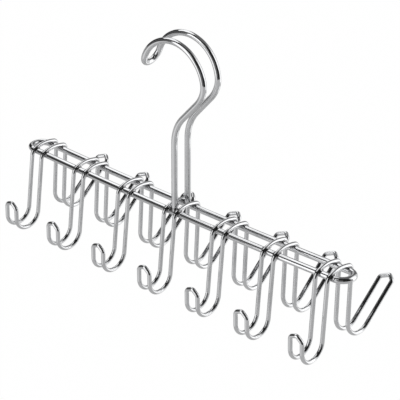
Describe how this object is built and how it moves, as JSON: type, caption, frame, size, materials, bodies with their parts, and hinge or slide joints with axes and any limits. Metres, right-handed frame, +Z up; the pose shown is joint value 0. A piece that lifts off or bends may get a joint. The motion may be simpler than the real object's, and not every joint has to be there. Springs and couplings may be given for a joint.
{
  "type": "accessory hanger",
  "caption": "Bright wire closet hanger: a looped crossbar under a doubled-wire main hook, with a row of welded wire hooks for ties, belts, scarves and bags.",
  "frame": {"origin": "the place under the crown of the main hook that rests on a closet rail", "axes": "+X along the crossbar, +Z up, -Y towards the round front hooks, +Y towards the slanted rear arms"},
  "size_m": [0.2704, 0.083, 0.1588],
  "materials": {
    "crossbar_plating": "bright plating on round steel wire",
    "main_hook_plating": "bright plating on round steel wire",
    "accessory_hook_plating": "bright plating on thin round steel wire"
  },
  "bodies": {
    "root": {"crossbar_loop": "crossbar_plating", "main_hook": "main_hook_plating", "accessory_hook_1": "accessory_hook_plating", "accessory_hook_2": "accessory_hook_plating", "accessory_hook_3": "accessory_hook_plating", "accessory_hook_4": "accessory_hook_plating", "accessory_hook_5": "accessory_hook_plating", "accessory_hook_6": "accessory_hook_plating", "accessory_hook_7": "accessory_hook_plating"}
  },
  "joints": []
}
